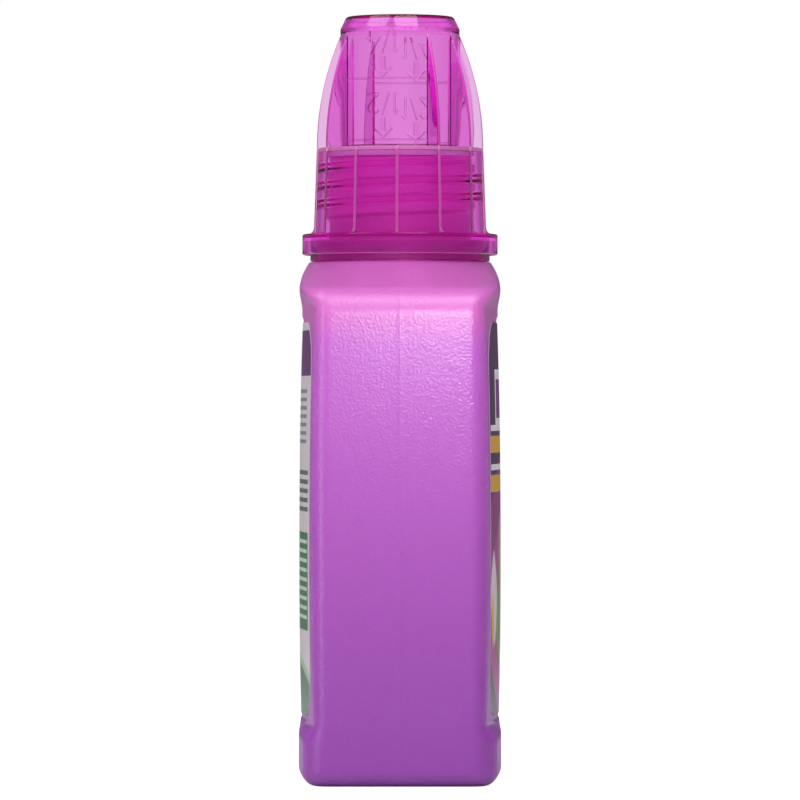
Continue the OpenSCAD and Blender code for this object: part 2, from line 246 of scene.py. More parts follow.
def half_depth(z):
    """Half the body's depth at its middle."""
    if z < ROLL_H:
        return ROLL_D / 2
    if z < ROLL_FOOT:
        return eased(z, ROLL_H, ROLL_D / 2, ROLL_FOOT, belly_half(ROLL_FOOT))
    if z < WAIST_Z:
        return belly_half(z)
    return eased(z, WAIST_Z, WAIST_D / 2, SHOULDER_Z, SHOULDER_D / 2)


def crown(z):
    """How far the wide face falls from its middle to the panel's edge."""
    if z < BELLY_Z:
        return eased(z, ROLL_H, END_CROWN, PANEL_BOTTOM, PANEL_CROWN)
    return eased(z, WAIST_Z, PANEL_CROWN, SHOULDER_Z, END_CROWN)


def half_width(z):
    """Half the body's width: straight, then rounded into the shoulder."""
    rise = max(z - SHOULDER_Z + SHOULDER_R, 0)
    return BODY_W / 2 - SHOULDER_R + math.sqrt(SHOULDER_R**2 - rise**2 * SHOULDER_SHARE)


def panel_half(z):
    """Half the panel's width, drawn in round its corners."""
    depth = min(z - PANEL_BOTTOM, PANEL_TOP - z)
    cut = min(max(PANEL_R - depth, 0), PANEL_R)
    return PANEL_W / 2 - PANEL_R + math.sqrt(PANEL_R**2 - cut**2)


def panel_depth(z):
    """Depth of the recess at height z, soft at the panel's upper and lower edges."""
    inside = min(z - PANEL_BOTTOM, PANEL_TOP - z)
    return PANEL_STEP * float(ease((inside + STEP_HALF) / (2 * STEP_HALF)))


def quarter(z, inset, outer):
    """A quarter of the section, from the middle of the wide face to that of the narrow one.

    The seam is the widest place, so the narrow face lies its height further in.
    """
    a = half_width(z) - inset - (SEAM_H if outer else 0)
    fall = crown(z) / (PANEL_W / 2) ** 2
    b = half_depth(z) - inset
    guess = max(b - crown(z) - NARROW_FLAT / 2, LEAST_R)
    phi = math.radians(90) - math.atan(2 * fall * (a - guess))
    x_end = a - guess + guess * math.cos(phi)
    r = max((b - fall * x_end**2 - NARROW_FLAT / 2) / math.sin(phi), LEAST_R)
    middle = (a - r, b - fall * x_end**2 - r * math.sin(phi))
    x_start = a - r + r * math.cos(phi)
    x_panel = min(panel_half(z), x_start - 2 * STEP_HALF)
    if outer:
        low = panel_depth(z)
    else:
        low = PANEL_STEP * float(ease((z - ROLL_H) / INNER_FADE) * ease((SHOULDER_Z - z) / INNER_FADE))
    points = []
    for i in range(ACROSS):
        x = (x_panel - STEP_HALF) * i / ACROSS
        points.append((x, b - fall * x * x - low))
    for i in range(STEP_COLUMNS + 1):
        off = STEP_HALF * (2 * i / STEP_COLUMNS - 1)
        x = x_panel + off
        fade = 1 - float(ease((off + STEP_HALF) / (2 * STEP_HALF))) if outer else 1
        points.append((x, b - fall * x * x - low * fade))
    for i in range(CORNER + 1):
        t = phi * (1 - i / CORNER)
        points.append((middle[0] + r * math.cos(t), middle[1] + r * math.sin(t)))
    seam = SEAM_H if outer and inset == 0 else 0
    for i in range(1, NARROW + 1):
        points.append((a, middle[1] + (SEAM_HALF - middle[1]) * i / NARROW))
    points.append((a + seam, SEAM_HALF / 3))
    points.append((a + seam, 0))
    return np.array(points)


def whole(q):
    """The whole section from its quarter, clockwise seen from above."""
    m = len(q) - 1
    down = q[m:0:-1]
    return np.concatenate([q[:m], down * (1, -1), q[:m] * (-1, -1), down * (-1, 1)])


def raised(ring, z):
    """A flat ring lifted to height z."""
    return np.column_stack([ring, np.full(len(ring), z)])


print("points in a section:", len(whole(quarter(80, 0, True))))

# %% [markdown]
# ## The bottle
#
# Blow moulding gives one even skin with no sharp inner corners: hollow foot, heel, roll, panels,
# waist, shoulder, collar, threaded neck, then down the bore and back along the inside. All of it
# is one closed stack of rings, so the wall has a real thickness everywhere.

# %% Bottle rings
def slope_ring(t, inset, outer):
    """A ring on the shoulder, from the body's outline at t = 0 to the collar's circle at 1."""
    ring = whole(quarter(SHOULDER_Z, inset, outer))
    across = ring / (half_width(SHOULDER_Z) - inset, SHOULDER_D / 2 - inset)
    circle = across / np.linalg.norm(across, axis=1)[:, None] * (CREST_R - inset)
    return np.column_stack([
        ring[:, 0] + (circle[:, 0] - ring[:, 0]) * t,
        ring[:, 1] + (circle[:, 1] - ring[:, 1]) * t * t,
    ])


def round_ring(r, z, ridge_h=0.0):
    """A ring of the neck, swollen by the thread where it has one."""
    flat = slope_ring(1, 0, True)
    unit = flat / np.linalg.norm(flat, axis=1)[:, None]
    angle = np.arctan2(unit[:, 1], unit[:, 0]) % (2 * math.pi)
    swell = r + ridge_h * ridge(angle, z, THREAD_START, THREAD_TURNS, NECK_FLAT)
    return raised(unit * swell[:, None], z)


def side_levels():
    """Heights of the side rings, closer together where the skin turns."""
    levels = list(np.linspace(HEEL_R + 0.01, ROLL_H, 6))
    levels += list(np.linspace(ROLL_H, PANEL_BOTTOM - STEP_HALF, 9)[1:])
    levels += list(np.linspace(PANEL_BOTTOM - STEP_HALF, PANEL_BOTTOM + STEP_HALF, 7)[1:])
    bend = [PANEL_R * (1 - math.cos(math.radians(t))) for t in range(24, 91, 6)]
    levels += [PANEL_BOTTOM + b for b in bend]
    levels += list(np.linspace(PANEL_BOTTOM + PANEL_R, PANEL_TOP - PANEL_R, 32)[1:-1])
    levels += [PANEL_TOP - b for b in reversed(bend)]
    levels += list(np.linspace(PANEL_TOP - STEP_HALF, PANEL_TOP + STEP_HALF, 7)[1:])
    levels += list(np.linspace(PANEL_TOP + STEP_HALF, SHOULDER_Z, 18)[1:])
    return levels


def bottle_rings():
    """All the rings of the bottle, from under the foot round to the inside of the floor."""
    rings = []
    foot = HEEL_R + FOOT_W
    for t in (1, 0.75, 0.5, 0.25, 0):
        hollow = quarter(HEEL_R, foot + HOLLOW_SLOPE * t, True)
        rings.append(raised(whole(hollow), PUSH_UP * float(ease(t))))
    for t in range(0, 90, 9):
        turn = math.radians(t)
        inset = HEEL_R * (1 - math.sin(turn))
        rings.append(raised(whole(quarter(HEEL_R, inset, True)), HEEL_R * (1 - math.cos(turn))))
    rings += [raised(whole(quarter(z, 0, True)), z) for z in side_levels()]
    for t in np.linspace(0, 1, 18)[1:]:
        rings.append(raised(slope_ring(t, 0, True), SHOULDER_Z + SHOULDER_DROP * t))
    return rings


def neck_rings():
    """The collar, the thread, the rim and the bore, with small steps round their soft edges."""
    collar_r, collar_top, bore = COLLAR_R, BODY_H + COLLAR_H, NECK_R - NECK_WALL
    outline = [(CREST_R - 0.6, BODY_H), (collar_r + 0.2, BODY_H), (collar_r, BODY_H + 0.2)]
    outline += [(collar_r, collar_top - 0.6), (collar_r - 0.2, collar_top - 0.2)]
    outline += [(collar_r - 0.7, collar_top), (NECK_R + 0.8, collar_top)]
    outline += [(NECK_R + 0.2, collar_top + 0.2), (NECK_R, collar_top + 0.8)]
    rings = [round_ring(r, z) for r, z in outline]
    for z in np.arange(collar_top + 1.4, RIM_Z - 0.9, 0.32):
        rings.append(round_ring(NECK_R, z, NECK_RIDGE))
    lip = [(NECK_R, RIM_Z - 0.6), (NECK_R - 0.2, RIM_Z - 0.2), (NECK_R - 0.6, RIM_Z)]
    lip += [(bore + 0.5, RIM_Z), (bore + 0.1, RIM_Z - 0.2), (bore, RIM_Z - 0.6)]
    room, roof = collar_r - WALL - 0.4, collar_top - WALL
    lip += [(bore, roof + 8), (bore, roof + 0.6), (bore + 0.3, roof), (room - 0.6, roof - 1.2)]
    lip += [(room, roof - 2), (room, BODY_H - WALL + 0.2)]
    return rings + [round_ring(r, z) for r, z in lip]


def inside_rings():
    """The inside of the body, from the collar down to the floor."""
    rings = []
    for t in np.linspace(1, 0, 12)[1:]:
        rings.append(raised(slope_ring(t, WALL, False), SHOULDER_Z + SHOULDER_DROP * t - WALL * t))
    floor_z, bend = PUSH_UP + WALL, HEEL_R - 0.5
    for z in np.linspace(SHOULDER_Z - 1, ROLL_H, 26):
        rings.append(raised(whole(quarter(z, WALL, False)), z))
    for t in range(75, -1, -15):
        turn = math.radians(t)
        inset = WALL + bend * (1 - math.sin(turn))
        rings.append(raised(whole(quarter(HEEL_R, inset, False)), floor_z + bend * (1 - math.cos(turn))))
    return rings


bottle = loft("bottle_skin", bottle_rings() + neck_rings() + inside_rings())
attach(bottle, "bottle")
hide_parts("bottle")
print("bottle:", len(bottle.data.polygons), "faces")

# %% [markdown]
# ## The measuring cap
#
# The cap is one injection moulding. Its shell is turned from an outline, and the ribs, fins,
# measuring lines and marks are solids of their own that a Boolean union melts into it. A clear
# piece has to be one closed skin: faces left inside it would show as false reflections.

# %% Cap shell
TURN_STEPS, TURN_ROWS = 180, 24
WALL_LOW, WALL_HIGH = FLANGE_ROOF + 0.3, LEDGE_Z - 0.3


def wall_r(z):
    """Radius of the skirt's inner wall between the turns of the thread."""
    return SKIRT_IN + SKIRT_DRAFT * (LEDGE_Z - z) / (LEDGE_Z - FLANGE_ROOF)


def arc(r, z, radius, start, end, steps=6):
    """Points on an arc of an outline, with its angles in degrees."""
    turns = [math.radians(start + (end - start) * i / steps) for i in range(steps + 1)]
    return [(r + radius * math.cos(t), z + radius * math.sin(t)) for t in turns]


def crown_arc(r, z):
    """The rounding between the cup's end face and the sloped edge round it."""
    lean = math.degrees(math.atan(CROWN_IN / CROWN_UP))
    hub_r = r - CROWN_IN - CROWN_R * math.cos(math.radians(lean))
    return arc(hub_r, z - CROWN_R, CROWN_R, 90, lean)


def shell_outline():
    """Outline of the cap from its top down to the flange, round the cuff and up the inside."""
    soft, lip = 0.6, 0.3
    foot = SKIRT_OUT + SKIRT_DRAFT
    slope_z = CUP_TOP - CROWN_UP - CROWN_R * 0.4
    outside = [(0, CUP_TOP)] + crown_arc(CUP_R, CUP_TOP)
    outside += [(CUP_R - 0.14, slope_z + 0.3), (CUP_R - 0.03, slope_z + 0.05)]
    outside += [(CUP_R, slope_z - 0.2), (CUP_R, slope_z - 0.5)]
    outside += [(CUP_R, slope_z - (slope_z - LEDGE_TOP - soft) * t) for t in (0.33, 0.66)]
    outside += [(CUP_R, LEDGE_TOP + soft + 0.3)] + arc(CUP_R + soft, LEDGE_TOP + soft, soft, 180, 270, 4)
    outside += arc(SKIRT_OUT - soft, LEDGE_TOP - soft, soft, 90, 0, 5)
    outside += [(SKIRT_OUT + SKIRT_DRAFT * t, LEDGE_TOP - SKIRT_H * t) for t in (0.04, 0.5, 0.97)]
    outside += [(foot, FLANGE_TOP)]
    outside += arc(FLANGE_R - soft, FLANGE_TOP - soft, soft, 90, 0, 5)
    outside += arc(FLANGE_R - soft, FLANGE_BOTTOM + soft, soft, 0, -90, 5)
    inside = [(FLANGE_IN + 0.2, FLANGE_BOTTOM), (FLANGE_IN, FLANGE_BOTTOM + 0.2)]
    inside += [(FLANGE_IN, FLANGE_ROOF), (CUFF_R, FLANGE_ROOF)]
    inside += arc(CUFF_R - lip, CUFF_FOOT + lip, lip, 0, -90, 3)
    inside += arc(CUFF_IN + lip, CUFF_FOOT + lip, lip, -90, -180, 3)
    inside += [(CUFF_IN, FLANGE_ROOF), (SKIRT_IN + SKIRT_DRAFT, FLANGE_ROOF)]
    inside += [(wall_r(WALL_LOW), WALL_LOW), (wall_r(WALL_HIGH), WALL_HIGH)]
    inner_r = CUP_R - CUP_WALL
    inside += [(SKIRT_IN, LEDGE_Z), (inner_r + 0.3, LEDGE_Z), (inner_r, LEDGE_Z + 0.3)]
    inside += [(inner_r, slope_z - CUP_WALL - 0.5), (inner_r, slope_z - CUP_WALL - 0.2)]
    inside += [(inner_r - 0.14, slope_z - CUP_WALL + 0.3)] + crown_arc(inner_r, CUP_TOP - CUP_WALL)[::-1]
    return outside + inside + [(0, CUP_TOP - CUP_WALL)]


def thread_wall(verts, low_ring, high_ring):
    """The skirt's inner wall, in rows that climb with the thread, between two rings of points."""
    known = {}
    for i in range(TURN_STEPS):
        known[(i, round(WALL_LOW, 4))] = low_ring + i
        known[(i, round(WALL_HIGH, 4))] = high_ring + i

    def corner(i, k):
        """The point of column i and row k, made once and kept within the two rings."""
        z = WALL_LOW + (k - TURN_ROWS) * PITCH / TURN_ROWS + PITCH * i / TURN_STEPS
        z = min(max(z, WALL_LOW), WALL_HIGH)
        column = i % TURN_STEPS
        key = (column, round(z, 4))
        if key not in known:
            known[key] = len(verts)
            angle = 2 * math.pi * column / TURN_STEPS
            swell = ridge(angle, z, THREAD_START + PITCH / 2, THREAD_TURNS - CAP_SHORTER, CAP_FLAT)
            r = wall_r(z) - CAP_RIDGE * float(swell)
            verts.append((r * math.cos(angle), r * math.sin(angle), z))
        return known[key]

    faces = []
    rows = TURN_ROWS + math.ceil((WALL_HIGH - WALL_LOW) / PITCH * TURN_ROWS)
    for k in range(rows):
        for i in range(TURN_STEPS):
            corners = [corner(i, k), corner(i + 1, k), corner(i + 1, k + 1), corner(i, k + 1)]
            corners = list(dict.fromkeys(corners))
            if len(corners) > 2:
                faces.append(tuple(corners))
    return faces


def turned(name, outline):
    """Turns an outline that starts and ends on the axis, with the thread on its inner wall."""
    body, n = outline[1:-1], TURN_STEPS
    angle = np.linspace(0, 2 * math.pi, n, endpoint=False)
    verts = [(0, 0, outline[0][1]), (0, 0, outline[-1][1])]
    for r, z in body:
        verts += list(zip(r * np.cos(angle), r * np.sin(angle), np.full(n, z)))
    last = 2 + (len(body) - 1) * n
    wall_foot = body.index((wall_r(WALL_LOW), WALL_LOW))
    faces = thread_wall(verts, 2 + wall_foot * n, 2 + (wall_foot + 1) * n)
    for i in range(n):
        j = (i + 1) % n
        faces.append((0, 2 + i, 2 + j))
        faces.append((1, last + j, last + i))
        for k in range(len(body) - 1):
            if k != wall_foot:
                a = 2 + k * n
                faces.append((a + i, a + n + i, a + n + j, a + j))
    return new_object(name, verts, faces)


cap = turned("measuring_cap_skin", shell_outline())
print("cap shell:", len(cap.data.polygons), "faces")

# %% [markdown]
# ## Ribs and fins
#
# Twelve thin ribs stiffen the skirt, and each ends in a small foot on the flange. Eight of them
# run on above the ledge as fins, whose outer edges follow one bell curve. Four stand on each
# flank, which leaves two bare sides for the marks.

# %% Ribs and fins
LAP = 0.5
NOSE = (-1, -0.92, -0.7, -0.38, 0, 0.38, 0.7, 0.92, 1)
NOSE_R = 0.4


def plate(outline, turn, thickness):
    """A flat outline of radius and height, stood up at a turn, with a round nose outwards."""
    n = len(outline)
    c, s = math.cos(math.radians(turn)), math.sin(math.radians(turn))
    verts = []
    for t in NOSE:
        half, back = thickness / 2 * t, NOSE_R * (1 - math.sqrt(1 - t * t))
        for r, z, shaped in outline:
            r -= back * shaped
            verts.append((r * c - half * s, r * s + half * c, z))
    last = n * (len(NOSE) - 1)
    faces = [tuple(range(n)), tuple(range(last + n - 1, last - 1, -1))]
    for start in range(0, last, n):
        for i in range(n):
            a, b = start + i, start + (i + 1) % n
            faces.append((a, a + n, b + n, b))
    return verts, faces


def rib_outline(with_fin):
    """The rib with its foot and, on the flanks, the fin above it."""
    foot = SKIRT_OUT + SKIRT_DRAFT
    root = [(foot - LAP, FLANGE_TOP - LAP), (foot + RIB_H + RIB_FOOT, FLANGE_TOP - LAP)]
    nose = arc(foot + RIB_H + RIB_FOOT, FLANGE_TOP + RIB_FOOT, RIB_FOOT, 270, 180, 5)
    for t in (0.3, 0.6, 0.9):
        nose.append((foot + RIB_H - SKIRT_DRAFT * t, FLANGE_TOP + RIB_FOOT + (SKIRT_H - RIB_FOOT) * t))
    if with_fin:
        rise = math.degrees(math.acos((CUP_R - LAP + FIN_CURVE - FIN_R) / FIN_CURVE))
        nose += arc(FIN_R - FIN_CURVE, LEDGE_TOP, FIN_CURVE, 0, rise, 24)
        back = [(CUP_R - LAP, LEDGE_TOP - LAP), (SKIRT_OUT - LAP, LEDGE_TOP - LAP)]
    else:
        nose += [(FIN_R, LEDGE_TOP - 0.6)]
        back = [(FIN_R - RIB_H, LEDGE_TOP - 0.1), (SKIRT_OUT - LAP, LEDGE_TOP - 0.1)]
    shaped = [(r, z, 1.0 if i else 0.0) for i, (r, z) in enumerate(nose)]
    return [(r, z, 0.0) for r, z in root] + shaped + [(r, z, 0.0) for r, z in back]


def add_solid(pile, solid):
    """Adds a solid to a pile of solids that becomes one mesh."""
    start = len(pile[0])
    pile[0].extend(solid[0])
    pile[1].extend(tuple(v + start for v in face) for face in solid[1])


details = ([], [])
for i in range(RIB_COUNT):
    has_fin = i % (RIB_COUNT // 2) < FINS_EACH_SIDE
    add_solid(details, plate(rib_outline(has_fin), RIB_TURN + i * 360 / RIB_COUNT, RIB_T))
print("ribs and fins:", len(details[1]), "faces")

# %% [markdown]
# ## Measuring lines and marks
#
# Each bare side has a line at a quarter and one at a half, with a plain fraction and an arrow over
# it. They are cut into the mould, so they stand a third of a millimetre proud. The cap is a cup
# only when it is turned over, so the marks are upside down while it sits on the bottle. A font
# could give the figures, but strokes laid round the cup stay light and bend with it.

# %% Marks
MARK_H, MARK_W, MARK_PROUD, DRAFT = 7.0, 1.0, 0.35, 0.22
MARK_UP, SHAFT_UP, SHAFT_H, SHAFT_W = 7.7, 6.9, 4.4, 2.1
HEAD_UP, HEAD_HALF, HEAD_H, HEAD_W = 3.9, 3.2, 3.2, 0.9
LINE_SPAN, LINE_TILES = 90, 6
SIDE_MIDDLE = 163
BITE = 0.35


def wrapped(corners, turn_middle, base_z, proud=MARK_PROUD):
    """A bent tile over four corners given as reading-order millimetres, laid on the cup."""
    verts, faces, steps = [], [], 6
    (x0, y0), (x1, y1), (x2, y2), (x3, y3) = corners
    for i in range(steps + 1):
        t = i / steps
        low = (x0 + (x1 - x0) * t, y0 + (y1 - y0) * t)
        high = (x3 + (x2 - x3) * t, y3 + (y2 - y3) * t)
        across = (high[0] - low[0], high[1] - low[1])
        wide = math.hypot(*across)
        for r, draft in ((CUP_R - BITE, 0), (CUP_R + proud, DRAFT / wide)):
            for x, y in ((low[0] + across[0] * draft, low[1] + across[1] * draft),
                         (high[0] - across[0] * draft, high[1] - across[1] * draft)):
                angle = math.radians(turn_middle) - x / CUP_R
                verts.append((r * math.cos(angle), r * math.sin(angle), base_z - y))
    for i in range(steps):
        a, b = 4 * i, 4 * i + 4
        faces += [(a, b, b + 1, a + 1), (a + 2, a + 3, b + 3, b + 2)]
        faces += [(a, a + 2, b + 2, b), (a + 1, b + 1, b + 3, a + 3)]
    end = 4 * steps
    return verts, faces + [(0, 1, 3, 2), (end, end + 2, end + 3, end + 1)]


def strokes(points, width=MARK_W):
    """Tiles along a bent stroke, mitred where it turns."""
    p = [np.array(q, float) for q in points]
    sides = []
    for i, here in enumerate(p):
        before = here - p[i - 1] if i else p[1] - p[0]
        after = p[i + 1] - here if i + 1 < len(p) else before
        before, after = before / np.linalg.norm(before), after / np.linalg.norm(after)
        middle = before + after
        middle /= np.linalg.norm(middle)
        normal = np.array([-middle[1], middle[0]])
        reach = width / 2 / max(float(np.dot(middle, before)), 0.5)
        sides.append((here - normal * reach, here + normal * reach))
    return [(sides[i][0], sides[i + 1][0], sides[i + 1][1], sides[i][1]) for i in range(len(p) - 1)]


def fraction(bottom):
    """The strokes of one over a figure, centred on the side."""
    h = MARK_H
    one = [[(-4.9, h - 1.5), (-3.9, h - 0.3)], [(-3.75, h), (-3.75, 0)]]
    slash = [[(-2.0, 0), (0.3, h)]]
    four = [[(4.0, h), (1.3, 2.3), (5.5, 2.3)], [(4.4, 3.6), (4.4, 0)]]
    bow = np.radians(np.linspace(165, -45, 8))
    bend = [(3.3 + 1.9 * math.cos(t), h - 2.1 + 1.7 * math.sin(t)) for t in bow]
    two = [bend + [(1.5, 0.45)], [(1.2, 0.45), (5.4, 0.45)]]
    return one + slash + (four if bottom == 4 else two)


marks = []
for side_turn in (SIDE_MIDDLE, SIDE_MIDDLE + 180):
    for depth, bottom in ((QUARTER_DEPTH, 4), (HALF_DEPTH, 2)):
        line_z = CUP_TOP - depth
        for stroke in fraction(bottom):
            marks += [wrapped(tile, side_turn, line_z + MARK_UP + MARK_H) for tile in strokes(stroke)]
        shaft = strokes([(0, 0), (0, SHAFT_H)], SHAFT_W)
        marks += [wrapped(tile, side_turn, line_z + SHAFT_UP) for tile in shaft]
        head = strokes([(-HEAD_HALF, 0.2), (0, HEAD_H), (HEAD_HALF, 0.2)], HEAD_W)
        marks += [wrapped(tile, side_turn, line_z + HEAD_UP) for tile in head]
        line = math.radians(LINE_SPAN) * CUP_R
        for k in range(LINE_TILES):
            x0, x1 = line * (k / LINE_TILES - 0.5), line * ((k + 1) / LINE_TILES - 0.5)
            tile = [(x0, -LINE_T / 2), (x1, -LINE_T / 2), (x1, LINE_T / 2), (x0, LINE_T / 2)]
            marks.append(wrapped(tile, side_turn, line_z, LINE_H))
print("mark tiles:", len(marks))

# %% Union of the cap
def melt(target, pile, self_crossing):
    """Unions a pile of solids into the target mesh with an exact Boolean."""
    tool = new_object("union_tool", pile[0], pile[1])
    union = target.modifiers.new("union", "BOOLEAN")
    union.operation, union.solver, union.object = "UNION", "EXACT", tool
    union.use_self = self_crossing
    graph = bpy.context.evaluated_depsgraph_get()
    made = bpy.data.meshes.new_from_object(target.evaluated_get(graph))
    target.modifiers.clear()
    target.data = made
    bpy.data.objects.remove(tool)


mark_pile = ([], [])
for tile in marks:
    add_solid(mark_pile, tile)
melt(cap, details, False)
melt(cap, mark_pile, True)
mark_edges(cap)
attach(cap, "cap")
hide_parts("measuring_cap")
print("cap:", len(cap.data.polygons), "faces")

# %% [markdown]
# ## The sealing ring
#
# A pale foam ring lies on the neck's rim under the ledge. It is turned with soft edges, as a
# punched ring of foam has once it has been pressed.

# %% Sealing ring
def ring_rows():
    """Rings round the section of the seal, from its inner wall over the top and back."""
    inner, outer, soft = NECK_R - NECK_WALL + 0.2, NECK_R + RING_OVER, 0.35
    low, high = RIM_Z, LEDGE_Z
    corners = ((outer - soft, low + soft), (outer - soft, high - soft))
    corners += ((inner + soft, high - soft), (inner + soft, low + soft))
    line = []
    for k, (r, z) in enumerate(corners):
        line += arc(r, z, soft, 90 * k - 90, 90 * k, 4)
    turns = np.radians(np.arange(0, 360, 3))
    rows = [raised(np.column_stack([r * np.cos(turns), r * np.sin(turns)]), z) for r, z in line]
    return rows + [rows[0]]


seal = loft("seal_ring", ring_rows(), closed_ends=False)
weld = bmesh.new()
weld.from_mesh(seal.data)
bmesh.ops.remove_doubles(weld, verts=weld.verts, dist=1e-7)
weld.to_mesh(seal.data)
weld.free()
mark_edges(seal)
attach(seal, "ring")
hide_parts("sealing_ring")
print("ring:", len(seal.data.polygons), "faces")

# %% [markdown]
# ## The labels
#
# Each label is a thin printed film that follows the crowned panel and stops short of its edge.
# The film is a fine grid cut to the label's rounded outline: each row of points spans the label's
# own width at that height, so the outline is smooth and needs no Boolean.

# %% Labels
LABEL_COLUMNS, LABEL_ROWS = 36, 64


def label_film(name, side):
    """The film on one wide face: side is 1 for the back and -1 for the front."""
    half_w, r = PANEL_W / 2 - LABEL_MARGIN, PANEL_R - LABEL_MARGIN
    low, high = PANEL_BOTTOM + LABEL_MARGIN, PANEL_TOP - LABEL_MARGIN
    bend = [r * (1 - math.cos(math.radians(t))) for t in range(4, 91, 7)]
    rows = [low + b for b in bend] + list(np.linspace(low + r, high - r, LABEL_ROWS)[1:-1])
    rows += [high - b for b in reversed(bend)]
    sheets = []
    for lift in (0, LABEL_T):
        points = []
        for z in rows:
            cut = max(r - min(z - low, high - z), 0)
            reach = half_w - r + math.sqrt(max(r * r - cut * cut, 0))
            fall = crown(z) / (PANEL_W / 2) ** 2
            for i in range(LABEL_COLUMNS + 1):
                x = reach * (2 * i / LABEL_COLUMNS - 1)
                y = half_depth(z) - fall * x * x - PANEL_STEP + LABEL_GAP + lift
                points.append((x * side, y * side, z))
        sheets.append(points)
    row, sheet, faces = LABEL_COLUMNS + 1, len(sheets[0]), []
    for k in range(len(rows) - 1):
        for i in range(LABEL_COLUMNS):
            a = k * row + i
            b = a + sheet
            faces += [(a, a + row, a + row + 1, a + 1), (b, b + 1, b + row + 1, b + row)]
    top = (len(rows) - 1) * row
    rim = list(range(row)) + [k * row + LABEL_COLUMNS for k in range(1, len(rows))]
    rim += [top + i for i in range(LABEL_COLUMNS - 1, -1, -1)]
    rim += [k * row for k in range(len(rows) - 2, 0, -1)]
    faces += [(a, b, b + sheet, a + sheet) for a, b in zip(rim, rim[1:] + rim[:1])]
    film = new_object(name, sheets[0] + sheets[1], faces)
    film["rim_faces"] = len(rim)
    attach(film, "bottle")
    return film


front_film = label_film("front_label_film", -1)
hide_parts("front_label")
back_film = label_film("back_label_film", 1)
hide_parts("back_label")
print("films:", len(front_film.data.polygons), len(back_film.data.polygons), "faces")

# %% [markdown]
# ## Materials
#
# Colours are written as the sRGB hex values that a picture shows, and one function turns them to
# the linear values that the renderer works in. One more function adds a node with its settings and
# its links, and three short ones do arithmetic and blend colours with it.

# %% Material helpers
def linear(hex_colour):
    """An sRGB hex colour as linear RGBA."""
    parts = [int(hex_colour[i:i + 2], 16) / 255 for i in (1, 3, 5)]
    return tuple(c / 12.92 if c <= 0.04045 else ((c + 0.055) / 1.055) ** 2.4 for c in parts) + (1.0,)


def add(tree, kind, inputs=None, **settings):
    """Adds a node. An input is a value, or another node's output to link."""
    made = tree.nodes.new(kind)
    for name, value in settings.items():
        setattr(made, name, value)
    for key, value in (inputs or {}).items():
        if isinstance(value, bpy.types.NodeSocket):
            tree.links.new(value, made.inputs[key])
        else:
            made.inputs[key].default_value = value
    return made


def maths(tree, operation, a, b=0.0, c=0.0):
    """One step of arithmetic."""
    return add(tree, "ShaderNodeMath", {0: a, 1: b, 2: c}, operation=operation).outputs[0]


def squared(tree, value):
    """A value times itself."""
    return maths(tree, "MULTIPLY", value, value)


def blended(tree, factor, ground, over):
    """A colour laid over a ground by a factor. Each is a hex colour or a node's output."""
    colours = [linear(c) if isinstance(c, str) else c for c in (ground, over)]
    inputs = {"Factor": factor, 6: colours[0], 7: colours[1]}
    return add(tree, "ShaderNodeMix", inputs, data_type="RGBA").outputs[2]


def new_material(name):
    """An empty node material and its tree."""
    made = bpy.data.materials.new(name)
    made.use_nodes = True
    made.node_tree.nodes.clear()
    return made, made.node_tree


def finish_with(tree, surface, volume=None):
    """Links a shader to the material's output."""
    out = add(tree, "ShaderNodeOutputMaterial", {"Surface": surface})
    if volume is not None:
        tree.links.new(volume, out.inputs["Volume"])


print("pink polyethylene is", [round(c, 3) for c in linear("#e781de")])

# %% [markdown]
# ## Polyethylene of the bottle
#
# High-density polyethylene, blow-moulded in a grained mould: waxy and a little translucent, with a
# broad soft gloss. Over the liquid the empty wall glows pink. Below the level the purple liquid
# darkens it, and towards the foot it is darker still: partly the feed's colour and partly painted
# shade for the light that falls from above. The neck is given a brighter pink than the body, which
# is painted light matched to how it glows through the closed cap, and it also shows when the cap is off.
# The grain is a little under a millimetre wide.

# %% Bottle material
LIQUID_Z = 0.1388
LEVEL_BLUR = 0.006
GRAIN_MM, GRAIN_DEPTH = 0.8, 0.16
NECK_GLOW_UP = 0.1
POLYETHYLENE_IOR = 1.51


def polyethylene():
    """Grained translucent polyethylene, tinted by what stands behind it, with painted shade towards the
    foot and painted light on the neck.
    """
    made, tree = new_material("moulded_polyethylene")
    where = add(tree, "ShaderNodeTexCoord")
    height = add(tree, "ShaderNodeSeparateXYZ", {0: where.outputs["Object"]}).outputs["Z"]
    level = add(tree, "ShaderNodeMapRange", {
        "Value": height, "From Min": LIQUID_Z - LEVEL_BLUR, "From Max": LIQUID_Z + LEVEL_BLUR,
    }, interpolation_type="SMOOTHSTEP").outputs["Result"]
    depth = add(tree, "ShaderNodeMapRange", {
        "Value": height, "From Min": 0.0, "From Max": LIQUID_Z,
    }).outputs["Result"]
    # Darker towards the foot: partly the feed's own colour, partly painted shade for light from above.
    wet_and_shaded = blended(tree, depth, "#9540ab", "#b65cbe")
    body = blended(tree, level, wet_and_shaded, "#c464b8")
    # Painted light: the neck's brighter pink stands in for the glow it gets through the closed cap.
    neck = maths(tree, "GREATER_THAN", height, (BODY_H + NECK_GLOW_UP) * MM)
    grain = add(tree, "ShaderNodeTexNoise", {
        "Vector": where.outputs["Object"], "Scale": 1 / (GRAIN_MM * MM), "Detail": 2.0, "Roughness": 0.5,
    })
    bump = add(tree, "ShaderNodeBump", {
        "Height": grain.outputs["Fac"], "Strength": 1.0, "Distance": GRAIN_DEPTH * MM,
    })
    skin = add(tree, "ShaderNodeBsdfPrincipled", {
        "Base Color": blended(tree, neck, body, "#ff50e0"), "Roughness": 0.29,
        "IOR": POLYETHYLENE_IOR, "Specular IOR Level": 0.8,
        "Subsurface Weight": 0.25, "Subsurface Radius": (1.0, 0.55, 0.9), "Subsurface Scale": 1.5 * MM,
        "Normal": bump.outputs["Normal"],
    })
    finish_with(tree, skin.outputs["BSDF"])
    return made


bottle.data.materials.append(polyethylene())
print("bottle material ready")
